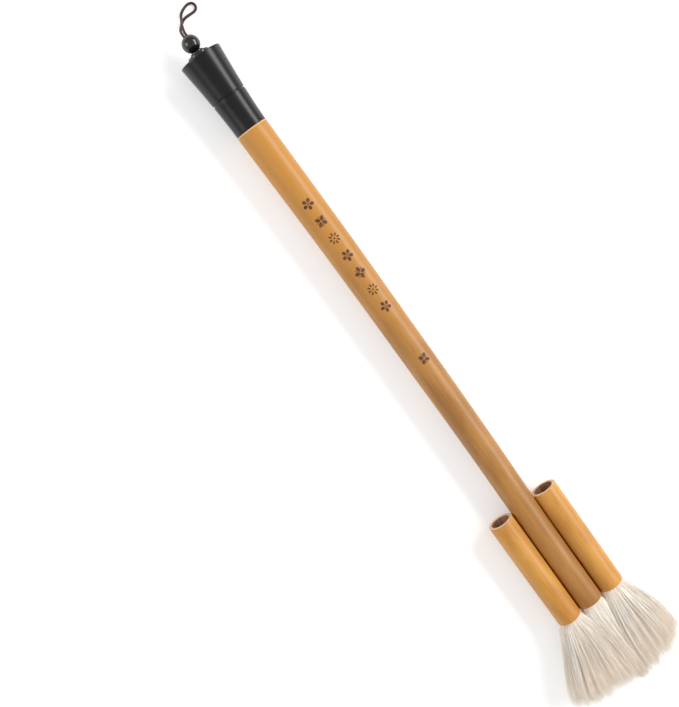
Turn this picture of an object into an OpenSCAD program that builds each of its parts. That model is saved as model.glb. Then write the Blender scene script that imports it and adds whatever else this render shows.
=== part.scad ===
// Three-tube goat-hair brush, lying flat: a long bamboo handle tube with a short open tube glued
// on each side, hair in all three mouths, a black flared cap, a bead and a cord loop.
// The brush runs along X with its hair at +X, the three tubes stand side by side along Y,
// and Z = 0 is the table that the cap's rim and the hair tips rest on.

/* [Handle tube] */
// Length of the handle tube, from the cap's joint to the mouth that holds the hair
handle_length = 234.5; // [150:0.5:300]
// Outer radius of the handle tube where it meets the cap
handle_top_r = 6.6; // [6.2:0.1:7.5]
// Outer radius of the three tubes where they stand side by side
tube_r = 5.7; // [5.6:0.05:6]
// Radius of the natural hollow along the middle of the handle
core_r = 2.6; // [1.5:0.1:3.2]

/* [Side tubes] */
// Length of the two short side tubes
row_length = 50.5; // [45:0.5:100]
// Distance between neighbouring tube axes; less than two radii leaves planed flats
tube_pitch = 11.2; // [11:0.05:11.3]
// Radius of the side tubes' open upper bore
socket_r = 4.2; // [3.5:0.05:4.3]
// Radius of the bore drilled for the hair at each mouth
mouth_r = 4.4; // [4.35:0.05:4.5]
// Depth of the drilled bore in the side tubes
mouth_depth = 24; // [24:0.5:30]
// Radius of the two bamboo pins that cross the row
pin_r = 0.9; // [0.6:0.1:1.1]

/* [Hair] */
// Radius of the rounded root on which each tuft bends, just outside its mouth
root_r = 3.9; // [3:0.1:3.9]
// How far outside the mouth a tuft bends
bend_x = 1; // [0.5:0.1:1.5]
// Half thickness of the hair at its tips
tip_half = 8.8; // [6:0.1:8.8]
// How much shorter the hair is at the top and bottom than in the middle of a tuft
crown_drop = 4; // [0:0.5:6]
// Length of the bound hair inside each tube
bound_length = 8.2; // [6:0.1:9]

/* [Cap] */
// Height of the flared cap
cap_height = 32.6; // [30:0.2:40]
// Radius of the cap's upper rim, which is also the height of the brush's axis over the table
cap_rim_r = 8.8; // [8.8:0.1:11]
// How far up the cap the turned groove lies
groove_height = 14.4; // [8:0.1:20]
// Radius of the low button on top of the cap
button_r = 4.6; // [3.5:0.1:6]
// Radius of the bead
bead_r = 3.6; // [3:0.1:4.5]

/* [Cord] */
// Radius of the waxed cord
cord_r = 0.55; // [0.4:0.05:0.55]
// Radius of the cord's knot inside the cap
knot_r = 2.4; // [1.5:0.1:2.8]

/* [Hidden] */

round_fn = 96;
glue_gap = 0.03;      // film of glue round a glued part
running_gap = 0.3;    // space between pieces that move past each other
joint_x = -handle_length;
row_top_x = -row_length;

// Mouth, flats and seams
mouth_chamfer = 0.4;
mouth_round = tube_r - mouth_r - mouth_chamfer;
top_round = 0.35;
flat_y = tube_pitch / 2;
seam_top = 2.6;
seam_end = 1.2;       // the glue stops this far from the ends of the row
pin_places = [-22, -15.5];
pin_end_gap = 0.1;

// Hair roots inside the tubes
bound_start_x = bend_x - root_r - running_gap;
bound_end_x = bound_start_x - bound_length;
bound_r = 3.5;
binding_r = 4.3;
binding_length = 4;
binding_start_x = bound_start_x - 1.6;
root_plug_length = 2;
handle_bore_depth = 14;

// Cap, plug and finial
plug_r = 4.6;
plug_in_handle = 12;
plug_in_cap = 13;
plug_hole_r = 1.6;
cap_bore_depth = 14;
cavity_r = 3.2;
cap_roof = 4;
flare_power = 1.6;
flare_steps = 20;
rim_round = 0.5;
groove_half = 0.45;
groove_depth = 0.4;
button_height = 1.6;
neck_r = 2.85;
neck_height = 0.8;
bead_gap = 0.2;
bead_centre_rise = 5.8;
cord_hole_r = 1.3;
bead_hole_r = 1.4;
strand_y = 0.6;
cap_top_x = joint_x - cap_height;
button_top_x = cap_top_x - button_height;
neck_top_x = button_top_x - neck_height;
bead_x = cap_top_x - bead_centre_rise;
bead_foot_x = neck_top_x - bead_gap;
bead_end_x = bead_x - sqrt(pow(bead_r, 2) - pow(bead_hole_r, 2));
bead_steps = 24;
knot_top_x = cap_top_x + cap_roof + glue_gap;
knot_length = 4.4;

// Edges of the tufts in plan, as [x, y] from the middle mouth: each tuft lies between two of them.
// The neighbours' edges keep the same stations, a running gap apart.
left_outer = [[1, -15.1], [3, -17.6], [10, -21.4], [20, -26.5], [30.5, -31]];
left_inner = [[1, -7.3], [9, -4.1], [17, -2.5], [25, -1.7], [39, -1.2]];
middle_left = [[1, -3.9], [9, -3.7], [17, -2.1], [25, -1.3], [39, -0.8]];
middle_right = [[1, 3.9], [5, 4.7], [12, 3.5], [23, 1.2], [39, 0.6]];
right_inner = [[1, 7.3], [5, 5.5], [12, 3.9], [23, 1.6], [39, 1]];
right_outer = [[1, 15.1], [3, 16.4], [10, 19.2], [19, 22], [31, 23.6]];
// Reach of a tuft's tips at its first edge, in its middle and at its second edge
left_tips = [30.5, 37.4, 38.3];
middle_tips = [38.4, 39, 38.9];
right_tips = [39, 39.6, 31.5];
fullness = 0.8;       // below 1, a tuft's section swells from an ellipse towards a box
hair_sides = 24;
hair_rings = 8;
crown_rings = 4;
ball_rings = 5;

// Hanging loop: [x from the bead's end, y, share of the fall from the axis to the table]
loop_route = [
    [-1.5, 0.6, 0], [-2.6, 0.9, 0.03], [-3.7, 1.3, 0.13], [-4.8, 1.9, 0.3], [-5.8, 2.6, 0.48],
    [-6.88, 3.37, 0.68], [-7.99, 4.13, 0.85], [-8.95, 4.9, 0.96], [-9.68, 5.83, 1], [-10.3, 7.1, 1],
    [-10.7, 8.5, 1], [-10.8, 9.8, 1], [-10.3, 11, 1], [-9.1, 11.5, 1], [-7.9, 11.1, 1],
    [-7.3, 10.1, 1], [-7.2, 9, 1], [-7.2, 7.8, 1], [-7.21, 6.52, 1], [-7.13, 5.51, 1],
    [-6.91, 4.6, 1], [-6.45, 3.72, 1], [-5.8, 2.8, 0.94], [-4.9, 1.8, 0.78], [-4, 0.8, 0.53],
    [-3, 0, 0.24], [-2.3, -0.4, 0.07], [-1.5, -0.6, 0]
];
cord_sides = 8;

function mix(a, b, t) = a + (b - a) * t;
function unit(v) = v / norm(v);
function fuller(v, power) = sign(v) * pow(abs(v), power);

// Catmull-Rom curve through a list of points, with its end points kept
function pick(list, i) = list[max(0, min(len(list) - 1, i))];
function curve_point(a, b, c, d, t) =
    0.5 * (2 * b + (c - a) * t + (2 * a - 5 * b + 4 * c - d) * t * t
        + (3 * b - a - 3 * c + d) * t * t * t);
function smooth_route(list, parts) = concat(
    [for (i = [0:len(list) - 2], k = [0:parts - 1])
        curve_point(pick(list, i - 1), list[i], list[i + 1], pick(list, i + 2), k / parts)],
    [list[len(list) - 1]]);

// A ring of the cord at point i of its route
function cord_ring(route, i) =
    let (ahead = unit(pick(route, i + 1) - pick(route, i - 1)),
        side = unit(cross(ahead, [0, 0, 1])),
        over = cross(side, ahead))
    [for (k = [0:cord_sides - 1])
        let (a = 360 * (k + 0.5) / cord_sides)
        route[i] + cord_r * (cos(a) * side + sin(a) * over)];

// Rings of a tuft: a ball at the root, a widening fan, then a crown over the tips
function tuft_edge(edge, tip, s) =
    let (x = mix(bend_x, tip, s))
    [x, lookup(x, edge)];
function ball_ring(first, second, turn) =
    let (y = (first[0][1] + second[0][1]) / 2)
    [for (k = [0:hair_sides - 1])
        let (a = 360 * k / hair_sides)
        [bend_x - root_r * cos(turn), y - root_r * sin(turn) * cos(a),
            root_r * sin(turn) * sin(a)]];
function fan_ring(first, second, tips, s, inset, middle_x) =
    let (one = tuft_edge(first, tips[0], s),
        two = tuft_edge(second, tips[2], s),
        half = mix(root_r, tip_half, pow(s, 0.8)))
    [for (k = [0:hair_sides - 1])
        let (a = 360 * k / hair_sides,
            across = mix(cos(a), fuller(cos(a), fullness), s),
            up = mix(sin(a), fuller(sin(a), fullness), s),
            edge_x = mix(one[0], two[0], (1 - across) / 2) - crown_drop * s * pow(up, 2))
        [mix(middle_x, edge_x, pow(inset, 2)), mix(one[1], two[1], (1 - across * inset) / 2),
            half * inset * up]];
function tuft_rings(first, second, tips) = concat(
    [for (k = [1:ball_rings]) ball_ring(first, second, 90 * k / (ball_rings + 1))],
    [for (k = [0:hair_rings]) fan_ring(first, second, tips, k / hair_rings, 1, 0)],
    [for (k = [1:crown_rings - 1])
        fan_ring(first, second, tips, 1, 1 - k / crown_rings, tips[1])]);

left_rings = tuft_rings(left_outer, left_inner, left_tips);
middle_rings = tuft_rings(middle_left, middle_right, middle_tips);
right_rings = tuft_rings(right_inner, right_outer, right_tips);

// The frame's origin is on the table, under the middle of the brush without its cord
hair_end_x = max(left_tips[1], middle_tips[1], right_tips[1]);
hair_left_y = min([for (ring = left_rings, p = ring) p[1]]);
hair_right_y = max([for (ring = right_rings, p = ring) p[1]]);
place_at = [-(hair_end_x + bead_end_x) / 2, -(hair_left_y + hair_right_y) / 2, cap_rim_r];

bamboo = "#c68f50";
bamboo_pale = "#e0bd8c";
cap_black = "#262424";
hair_white = "#ece0d2";
cord_brown = "#4b3732";

function arc(centre, r, from, to, steps) = [for (k = [0:steps])
    let (a = mix(from, to, k / steps)) centre + r * [cos(a), sin(a)]];

// Carries a piece from the brush's own axis to its place on the table
module placed() {
    translate(place_at) children();
}

// A turned piece along X, from an outline of [radius, x] points
module turned(outline, fn = round_fn) {
    rotate([0, 90, 0]) mirror([1, 0, 0]) rotate_extrude($fn = fn) polygon(outline);
}

// A solid through rings of points that all have the same count, closed at both ends
module lofted(rings, first_point, last_point) {
    sides = len(rings[0]);
    count = len(rings);
    points = concat([for (ring = rings, p = ring) p], [first_point, last_point]);
    walls = [for (i = [0:count - 2], k = [0:sides - 1])
        let (a = i * sides + k, b = i * sides + (k + 1) % sides)
        each [[a, a + sides, b], [b, a + sides, b + sides]]];
    start_fan = [for (k = [0:sides - 1]) [count * sides, k, (k + 1) % sides]];
    end_fan = [for (k = [0:sides - 1])
        let (a = (count - 1) * sides)
        [count * sides + 1, a + (k + 1) % sides, a + k]];
    polyhedron(points, concat(walls, start_fan, end_fan), convexity = 6);
}

function mouth_lip() = concat(
    [[mouth_r, -mouth_chamfer]],
    arc([tube_r - mouth_round, -mouth_round], mouth_round, 90, 0, 6));

module pin_holes() {
    for (x = pin_places)
        translate([x, 0, 0])
            rotate([90, 0, 0])
                cylinder(r = pin_r + glue_gap, h = 4 * tube_pitch, center = true, $fn = 32);
}

// Planed flat on the side of a tube, towards sign * Y
module planed_flat(sign) {
    translate([-row_length / 2, sign * (flat_y + tube_r / 2), 0])
        cube([row_length + 0.01, tube_r, 3 * tube_r], center = true);
}

module handle_tube() {
    color(bamboo) placed() difference() {
        turned(concat(mouth_lip(), [
            [tube_r, row_top_x],
            [handle_top_r, joint_x],
            [plug_r, joint_x],
            [plug_r, joint_x + plug_in_handle],
            [core_r, joint_x + plug_in_handle + 1],
            [core_r, -handle_bore_depth - 1],
            [mouth_r, -handle_bore_depth]
        ]));
        planed_flat(1);
        planed_flat(-1);
        pin_holes();
    }
}

module side_tube(sign) {
    color(bamboo) placed() difference() {
        translate([0, sign * tube_pitch, 0])
            turned(concat(mouth_lip(),
                arc([tube_r - top_round, row_top_x + top_round], top_round, 0, -90, 4),
                [[socket_r, row_top_x], [socket_r, -mouth_depth], [mouth_r, -mouth_depth]]));
        translate([0, sign * tube_pitch, 0]) planed_flat(-sign);
        pin_holes();
    }
}

module left_tube() { side_tube(-1); }
module right_tube() { side_tube(1); }

module cross_pin(x) {
    color(bamboo_pale) placed()
        translate([x, 0, 0])
            rotate([90, 0, 0])
                cylinder(r = pin_r, h = 2 * (tube_pitch + tube_r - pin_end_gap), center = true, $fn = 32);
}

module upper_pin() { cross_pin(pin_places[0]); }
module lower_pin() { cross_pin(pin_places[1]); }

// Glue in the grooves over and under the flats of two neighbouring tubes
module glue_seam(sign) {
    length = row_length - 2 * seam_end;
    color("#7a4a1c") placed() difference() {
        for (side = [-1, 1])
            translate([-row_length / 2, sign * flat_y, side * seam_top / 2])
                cube([length, flat_y, seam_top], center = true);
        for (y = [0, sign * tube_pitch])
            translate([-row_length / 2, y, 0])
                rotate([0, 90, 0])
                    cylinder(r = tube_r + glue_gap, h = row_length, center = true, $fn = 360);
    }
}

module left_glue_seam() { glue_seam(-1); }
module right_glue_seam() { glue_seam(1); }

// Resin that holds the bound roots in their bore
module root_plug(y) {
    color("#b98a4a") placed()
        translate([bound_end_x - root_plug_length, y, 0])
            rotate([0, 90, 0])
                cylinder(r = mouth_r - glue_gap, h = root_plug_length, $fn = round_fn);
}

module left_root_plug() { root_plug(-tube_pitch); }
module middle_root_plug() { root_plug(0); }
module right_root_plug() { root_plug(tube_pitch); }

// Thread wound round the hair roots
module root_binding(y) {
    color("#d8cbb0") placed()
        translate([0, y, 0])
            turned([
                [bound_r + glue_gap, binding_start_x],
                [binding_r, binding_start_x],
                [binding_r, binding_start_x - binding_length],
                [bound_r + glue_gap, binding_start_x - binding_length]
            ]);
}

module left_root_binding() { root_binding(-tube_pitch); }
module middle_root_binding() { root_binding(0); }
module right_root_binding() { root_binding(tube_pitch); }

module bound_roots(y) {
    color(hair_white) placed()
        translate([bound_end_x, y, 0])
            rotate([0, 90, 0])
                cylinder(r = bound_r, h = bound_length, $fn = round_fn);
}

module left_bound_roots() { bound_roots(-tube_pitch); }
module middle_bound_roots() { bound_roots(0); }
module right_bound_roots() { bound_roots(tube_pitch); }

// Free hair of one tube
module tuft(rings, root_y, tips) {
    crown = rings[len(rings) - 1];
    crown_y = (min([for (p = crown) p[1]]) + max([for (p = crown) p[1]])) / 2;
    color(hair_white) placed()
        lofted(rings, [bend_x - root_r, root_y, 0], [tips[1], crown_y, 0]);
}

module left_tuft() { tuft(left_rings, (left_outer[0][1] + left_inner[0][1]) / 2, left_tips); }
module middle_tuft() { tuft(middle_rings, 0, middle_tips); }
module right_tuft() { tuft(right_rings, (right_inner[0][1] + right_outer[0][1]) / 2, right_tips); }

// Outside of the cap at a height over its joint, as [radius, x]
function cap_point(height) =
    [mix(handle_top_r, cap_rim_r, pow(height / cap_height, flare_power)), joint_x - height];

module cap_body() {
    low = groove_height - groove_half;
    high = groove_height + groove_half;
    color(cap_black) placed()
        turned(concat(
            [for (k = [0:flare_steps / 2]) cap_point(low * k * 2 / flare_steps)],
            [cap_point(low) - [groove_depth, 0], cap_point(high) - [groove_depth, 0]],
            [for (k = [0:flare_steps / 2])
                cap_point(mix(high, cap_height - rim_round, k * 2 / flare_steps))],
            arc([cap_rim_r - rim_round, cap_top_x + rim_round], rim_round, -15, -90, 4),
            [
                [cord_hole_r, cap_top_x],
                [cord_hole_r, cap_top_x + cap_roof],
                [cavity_r, cap_top_x + cap_roof],
                [cavity_r, joint_x - cap_bore_depth],
                [plug_r, joint_x - cap_bore_depth],
                [plug_r, joint_x]
            ]));
}

// Wooden plug that joins the cap to the handle tube, pierced for air and cord ends
module cap_plug() {
    color(bamboo_pale) placed() turned([
        [plug_hole_r, joint_x - plug_in_cap],
        [plug_r - glue_gap, joint_x - plug_in_cap],
        [plug_r - glue_gap, joint_x + plug_in_handle - 0.5],
        [plug_hole_r, joint_x + plug_in_handle - 0.5]
    ]);
}

module top_button() {
    edge_r = button_height / 2;
    color(cap_black) placed()
        turned(concat(
            arc([button_r - edge_r, button_top_x + edge_r], edge_r, 90, -90, 10),
            [[cord_hole_r, button_top_x], [cord_hole_r, cap_top_x]]));
}

module neck_ring() {
    edge_r = neck_height / 2;
    color(cap_black) placed()
        turned(concat(
            arc([neck_r - edge_r, neck_top_x + edge_r], edge_r, 90, -90, 8),
            [[cord_hole_r, neck_top_x], [cord_hole_r, button_top_x]]));
}

module bead() {
    hole_angle = asin(bead_hole_r / bead_r);
    foot_angle = acos((bead_foot_x - bead_x) / bead_r);
    color(cap_black) placed()
        turned(concat(
            [for (k = [0:bead_steps])
                let (a = mix(foot_angle, 180 - hole_angle, k / bead_steps))
                [bead_r * sin(a), bead_x + bead_r * cos(a)]],
            [[bead_hole_r, bead_foot_x]]));
}

module cord_knot() {
    edge_r = knot_r - cord_hole_r;
    color(cord_brown) placed()
        turned(concat(
            [[0, knot_top_x + knot_length], [cord_hole_r, knot_top_x + knot_length]],
            arc([cord_hole_r, knot_top_x + knot_length - edge_r], edge_r, 90, 0, 5),
            arc([cord_hole_r, knot_top_x + edge_r], edge_r, 0, -90, 5),
            [[0, knot_top_x]]));
}

// The cord's two strands from the knot up through the button, neck ring and bead
module cord_stem() {
    color(cord_brown) placed()
        for (y = [-strand_y, strand_y])
            translate([bead_end_x, y, 0])
                rotate([0, 90, 0])
                    cylinder(r = cord_r, h = knot_top_x - bead_end_x, $fn = 24);
}

module hanging_loop() {
    fall = cap_rim_r - cord_r;
    route = smooth_route([for (p = loop_route) [bead_end_x + p[0], p[1], -p[2] * fall]], 2);
    count = len(route);
    color(cord_brown) placed()
        lofted([for (i = [0:count - 1]) cord_ring(route, i)], route[0], route[count - 1]);
}

handle_tube();
left_tube();
right_tube();
upper_pin();
lower_pin();
left_glue_seam();
right_glue_seam();
left_root_plug();
middle_root_plug();
right_root_plug();
left_root_binding();
middle_root_binding();
right_root_binding();
left_bound_roots();
middle_bound_roots();
right_bound_roots();
left_tuft();
middle_tuft();
right_tuft();
cap_body();
cap_plug();
top_button();
neck_ring();
bead();
cord_knot();
cord_stem();
hanging_loop();
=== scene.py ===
# Goat-hair row brush with a bamboo handle, lying on a pale table
import math

import bmesh
import bpy
import numpy as np
from mathutils import Matrix, Vector


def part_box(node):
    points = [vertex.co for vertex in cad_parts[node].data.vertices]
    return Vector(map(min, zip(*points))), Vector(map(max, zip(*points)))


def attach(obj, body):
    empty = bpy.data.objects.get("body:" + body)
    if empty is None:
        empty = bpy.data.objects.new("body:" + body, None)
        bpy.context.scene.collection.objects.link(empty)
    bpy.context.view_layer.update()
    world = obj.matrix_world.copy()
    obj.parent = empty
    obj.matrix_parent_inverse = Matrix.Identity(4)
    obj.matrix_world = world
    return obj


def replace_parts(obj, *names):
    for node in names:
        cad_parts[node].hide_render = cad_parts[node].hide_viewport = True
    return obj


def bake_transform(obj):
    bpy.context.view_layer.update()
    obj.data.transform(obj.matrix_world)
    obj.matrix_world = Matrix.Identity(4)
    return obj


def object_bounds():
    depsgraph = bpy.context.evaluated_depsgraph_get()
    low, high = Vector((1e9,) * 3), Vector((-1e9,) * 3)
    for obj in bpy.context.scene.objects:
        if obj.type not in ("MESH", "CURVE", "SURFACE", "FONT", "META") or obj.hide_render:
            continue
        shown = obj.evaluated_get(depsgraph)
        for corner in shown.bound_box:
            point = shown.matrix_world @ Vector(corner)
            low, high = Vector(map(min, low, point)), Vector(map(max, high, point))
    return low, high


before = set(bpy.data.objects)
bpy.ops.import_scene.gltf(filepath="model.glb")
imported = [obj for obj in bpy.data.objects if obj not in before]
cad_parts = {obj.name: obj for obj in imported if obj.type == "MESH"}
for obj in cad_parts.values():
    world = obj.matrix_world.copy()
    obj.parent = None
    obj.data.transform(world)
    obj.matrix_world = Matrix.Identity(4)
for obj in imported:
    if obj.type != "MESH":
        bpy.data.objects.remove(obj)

cadLow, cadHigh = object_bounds()
mm = 0.001

# Places that everything hangs on, all read from the frame
handleLow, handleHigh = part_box("handle_tube")
sideLow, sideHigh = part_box("left_tube")
capLow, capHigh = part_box("cap_body")
beadLow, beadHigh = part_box("bead")
mouthX = handleHigh.x
jointX = handleLow.x
rowTopX = sideLow.x
capTopX = capLow.x
beadEndX = beadLow.x
capRimR = (capHigh.z - capLow.z) / 2
handleTopR = (handleHigh.z - handleLow.z) / 2
tubeR = (sideHigh.z - sideLow.z) / 2
axisY = (capLow.y + capHigh.y) / 2
axisZ = (capLow.z + capHigh.z) / 2
flatY = axisY - sideHigh.y
tubePitch = flatY * 2


def screenColour(red, green, blue):
    # 0 to 255 screen values to the linear colour that shaders take
    def straight(value):
        value /= 255
        return value / 12.92 if value <= 0.04045 else ((value + 0.055) / 1.055) ** 2.4
    return (straight(red), straight(green), straight(blue), 1)


def grey(level):
    return (level, level, level, 1)


# ---- nodes as Python expressions, for shaders and Geometry Nodes alike

class Wire:
    # One output of a node. Arithmetic on it adds Math nodes.
    def __init__(self, graph, node, output):
        self.graph, self.node, self.socket = graph, node, node.outputs[output]

    def other(self, output):
        return Wire(self.graph, self.node, output)

    def __add__(self, value):
        return self.graph.maths("ADD", self, value)

    def __radd__(self, value):
        return self.graph.maths("ADD", value, self)

    def __sub__(self, value):
        return self.graph.maths("SUBTRACT", self, value)

    def __rsub__(self, value):
        return self.graph.maths("SUBTRACT", value, self)

    def __mul__(self, value):
        return self.graph.maths("MULTIPLY", self, value)

    def __pow__(self, value):
        return self.graph.maths("POWER", self, value)


class Graph:
    def __init__(self, tree):
        self.tree = tree
        self.column = 0

    def make(self, kind, settings=None, sockets=None, output=0):
        node = self.tree.nodes.new(kind)
        self.column += 1
        node.location = (self.column % 12 * 180, -(self.column // 12) * 260)
        for key, value in (settings or {}).items():
            setattr(node, key, value)
        for key, value in (sockets or {}).items():
            if isinstance(value, Wire):
                self.tree.links.new(value.socket, node.inputs[key])
            else:
                node.inputs[key].default_value = value
        return Wire(self, node, output)

    def maths(self, operation, *values):
        return self.make("ShaderNodeMath", {"operation": operation}, dict(enumerate(values)))

    def vector(self, operation, *values):
        return self.make("ShaderNodeVectorMath", {"operation": operation}, dict(enumerate(values)))

    def scaled(self, vector, factor):
        return self.make("ShaderNodeVectorMath", {"operation": "SCALE"}, {0: vector, "Scale": factor})

    def clamped(self, value):
        return self.make("ShaderNodeClamp", None, {"Value": value})

    def between(self, value, low, high):
        # 0 at low, 1 at high, smooth in between
        return self.make("ShaderNodeMapRange", {"interpolation_type": "SMOOTHSTEP"},
                         {"Value": value, "From Min": low, "From Max": high})

    def mixed(self, factor, first, second):
        # The colour sockets of a Mix node are 6 and 7, and its colour comes out of 2
        return self.make("ShaderNodeMix", {"data_type": "RGBA"}, {0: factor, 6: first, 7: second}, 2)


class Finish(Graph):
    # A material: one Principled shader and what feeds it
    def __init__(self, name, **constants):
        self.material = bpy.data.materials.new(name)
        self.material.use_nodes = True
        super().__init__(self.material.node_tree)
        self.shader = self.tree.nodes["Principled BSDF"]
        for key, value in constants.items():
            self.shader.inputs[key.replace("_", " ")].default_value = value
        self.place = self.make("ShaderNodeTexCoord").other("Object")

    def stretched(self, along, across, detail=3.0, roughness=0.5, seedShift=0.0):
        # Noise in cycles per metre, along the brush and across it
        spot = self.vector("MULTIPLY", self.place, (along, across, across))
        moved = self.vector("ADD", spot, (seedShift, seedShift * 1.7, -seedShift))
        return self.make("ShaderNodeTexNoise", None,
                         {"Vector": moved, "Scale": 1.0, "Detail": detail, "Roughness": roughness})

    def feed(self, **wires):
        for key, wire in wires.items():
            self.tree.links.new(wire.socket, self.shader.inputs[key.replace("_", " ")])
        return self

    def bump(self, height, strength, distance):
        relief = self.make("ShaderNodeBump", None,
                           {"Height": height, "Strength": strength, "Distance": distance})
        self.tree.links.new(relief.socket, self.shader.inputs["Normal"])
        return self


# ---- camera

cameraSettings = {
    "lens": 55.5,
    "sensor": 36,
    "clip": (0.01, 20),
    "fromMouth": (-0.2053, -0.0722, 0.4189),
    "leanAlong": 8.21,
    "leanAcross": 6.55,
    "roll": 52.96,
}


def makeCamera(s):
    data = bpy.data.cameras.new("studioCamera")
    data.lens = s["lens"]
    data.sensor_width = s["sensor"]
    data.clip_start, data.clip_end = s["clip"]
    camera = bpy.data.objects.new("studioCamera", data)
    bpy.context.scene.collection.objects.link(camera)
    along, across, roll = (math.radians(s[k]) for k in ("leanAlong", "leanAcross", "roll"))
    forward = Vector((math.sin(along) * math.cos(across), math.sin(across),
                      -math.cos(along) * math.cos(across)))
    level = forward.cross(Vector((0, 1, 0))).normalized()
    upright = level.cross(forward)
    right = math.cos(roll) * level + math.sin(roll) * upright
    up = -math.sin(roll) * level + math.cos(roll) * upright
    turn = Matrix((right, up, -forward)).transposed().to_4x4()
    spot = Vector((mouthX, axisY, axisZ)) + Vector(s["fromMouth"])
    camera.matrix_world = Matrix.Translation(spot) @ turn
    bpy.context.scene.camera = camera


makeCamera(cameraSettings)
bpy.context.scene.view_settings.view_transform = "Standard"
# White hair passes light on many times before it leaves
bpy.context.scene.cycles.diffuse_bounces = 12
bpy.context.scene.cycles.max_bounces = 16
print("camera ready")

# ---- the hanging loop

cordSettings = {
    "diameter": 1.1 * mm,
    "strandOffset": 0.6 * mm,
    "ringSpacing": 0.11 * mm,
    "sides": 20,
    "plies": 3,
    "turnLength": 2.3 * mm,
    "plyDepth": 0.1 * mm,
    "routeParts": 8,
    "bendsOver": 2.6 * mm,
}

# Route from the bead's end: along the brush and across it in mm, and the share of the drop to
# the table. The cord leaves the bead, falls to the table, runs round and comes back over itself.
loopRoute = [
    (-1.5, 0.6, 0), (-2.6, 0.9, 0.03), (-3.7, 1.3, 0.13), (-4.8, 1.9, 0.3), (-5.8, 2.6, 0.48),
    (-6.88, 3.37, 0.68), (-7.99, 4.13, 0.85), (-8.95, 4.9, 0.96), (-9.68, 5.83, 1), (-10.3, 7.1, 1),
    (-10.7, 8.5, 1), (-10.8, 9.8, 1), (-10.3, 11, 1), (-9.1, 11.5, 1), (-7.9, 11.1, 1),
    (-7.3, 10.1, 1), (-7.2, 9, 1), (-7.2, 7.8, 1), (-7.21, 6.52, 1), (-7.13, 5.51, 1),
    (-6.91, 4.6, 1), (-6.45, 3.72, 1), (-5.8, 2.8, 0.94), (-4.9, 1.8, 0.78), (-4, 0.8, 0.53),
    (-3, 0, 0.24), (-2.3, -0.4, 0.07), (-1.5, -0.6, 0),
]


def smoothRoute(points, parts):
    # Catmull-Rom curve through the points
    points = [Vector(p) for p in points]

    def picked(i):
        return points[max(0, min(len(points) - 1, i))]

    found = []
    for i in range(len(points) - 1):
        a, b, c, d = picked(i - 1), points[i], points[i + 1], picked(i + 2)
        for k in range(parts):
            t = k / parts
            found.append(0.5 * (2 * b + (c - a) * t + (2 * a - 5 * b + 4 * c - d) * t ** 2
                                + (3 * b - a - 3 * c + d) * t ** 3))
    return found + [points[-1]]


def evenSteps(points, spacing):
    lengths = np.array([(b - a).length for a, b in zip(points, points[1:])])
    total = np.concatenate([[0], np.cumsum(lengths)])
    wanted = np.linspace(0, total[-1], int(total[-1] / spacing) + 1)
    table = np.array(points)
    columns = [np.interp(wanted, total, table[:, k]) for k in range(3)]
    return [Vector(p) for p in np.stack(columns, 1)], total[-1]


def newPiece(name, vertices, faces, materials, faceMaterials=None, edges=()):
    mesh = bpy.data.meshes.new(name)
    mesh.from_pydata([tuple(v) for v in vertices], edges, faces)
    for material in materials:
        mesh.materials.append(material)
    if faceMaterials is not None:
        mesh.polygons.foreach_set("material_index", faceMaterials)
    mesh.update()
    piece = bpy.data.objects.new(name, mesh)
    bpy.context.scene.collection.objects.link(piece)
    return piece


def smoothShaded(piece, angle=35):
    piece.data.polygons.foreach_set("use_smooth", [True] * len(piece.data.polygons))
    piece.data.set_sharp_from_angle(angle=math.radians(angle))
    return piece


def makeCordFinish():
    # ply runs 0 to 1 from the bottom of a groove to the crown of a strand, on the cord itself
    f = Finish("waxedCord", Specular_IOR_Level=0.3)
    ply = f.make("ShaderNodeAttribute", {"attribute_name": "ply"}, None, "Fac")
    fine = f.stretched(2500, 2500, 4)
    broad = f.stretched(260, 260, 2, seedShift=3)
    tone = f.mixed(f.between(broad, 0.35, 0.65), screenColour(72, 51, 48), screenColour(97, 75, 70))
    # Painted shade: the grooves between the strands are darkened
    tone = f.mixed(f.between(ply, 0.75, 0.05) * 0.75, tone, screenColour(34, 24, 22))
    tone = f.mixed(fine * 0.35, tone, screenColour(44, 32, 30))
    f.feed(Base_Color=tone, Roughness=0.45 + fine * 0.25)
    return f.bump(fine, 0.35, 0.0002).material


def makeLoop(s):
    fall = axisZ - s["diameter"] / 2
    places = [Vector((beadEndX + x * mm, axisY + y * mm, axisZ - share * fall))
              for x, y, share in loopRoute]
    start = Vector((beadEndX, axisY + s["strandOffset"], axisZ))
    end = Vector((beadEndX, axisY - s["strandOffset"], axisZ))
    centres, length = evenSteps(smoothRoute([start, *places, end], s["routeParts"]),
                                s["ringSpacing"])
    vertices, faces, ply = [], [], []
    sides, radius = s["sides"], s["diameter"] / 2
    for i, centre in enumerate(centres):
        ahead = (centres[min(i + 1, len(centres) - 1)] - centres[max(i - 1, 0)]).normalized()
        side = ahead.cross(Vector((0, 0, 1))).normalized()
        over = side.cross(ahead)
        twist = 2 * math.pi * i * s["ringSpacing"] / s["turnLength"]
        for k in range(sides):
            a = 2 * math.pi * k / sides
            ply.append(abs(math.cos(s["plies"] / 2 * (a - twist))))
            r = radius - s["plyDepth"] * (1 - ply[-1]) ** 2
            vertices.append(centre + r * (math.cos(a) * side + math.sin(a) * over))
        if i:
            first = (i - 1) * sides
            for k in range(sides):
                n = (k + 1) % sides
                faces.append((first + k, first + sides + k, first + sides + n, first + n))
    faces.append(tuple(range(sides)))
    faces.append(tuple(range(len(vertices) - 1, len(vertices) - sides - 1, -1)))
    piece = smoothShaded(newPiece("cordLoop", vertices, faces, [makeCordFinish()]), 60)
    piece.data.attributes.new("ply", "FLOAT", "POINT").data.foreach_set("value", ply)
    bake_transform(piece)
    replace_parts(piece, "hanging_loop")
    print(f"cord loop: {length / mm:.1f} mm")


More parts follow.
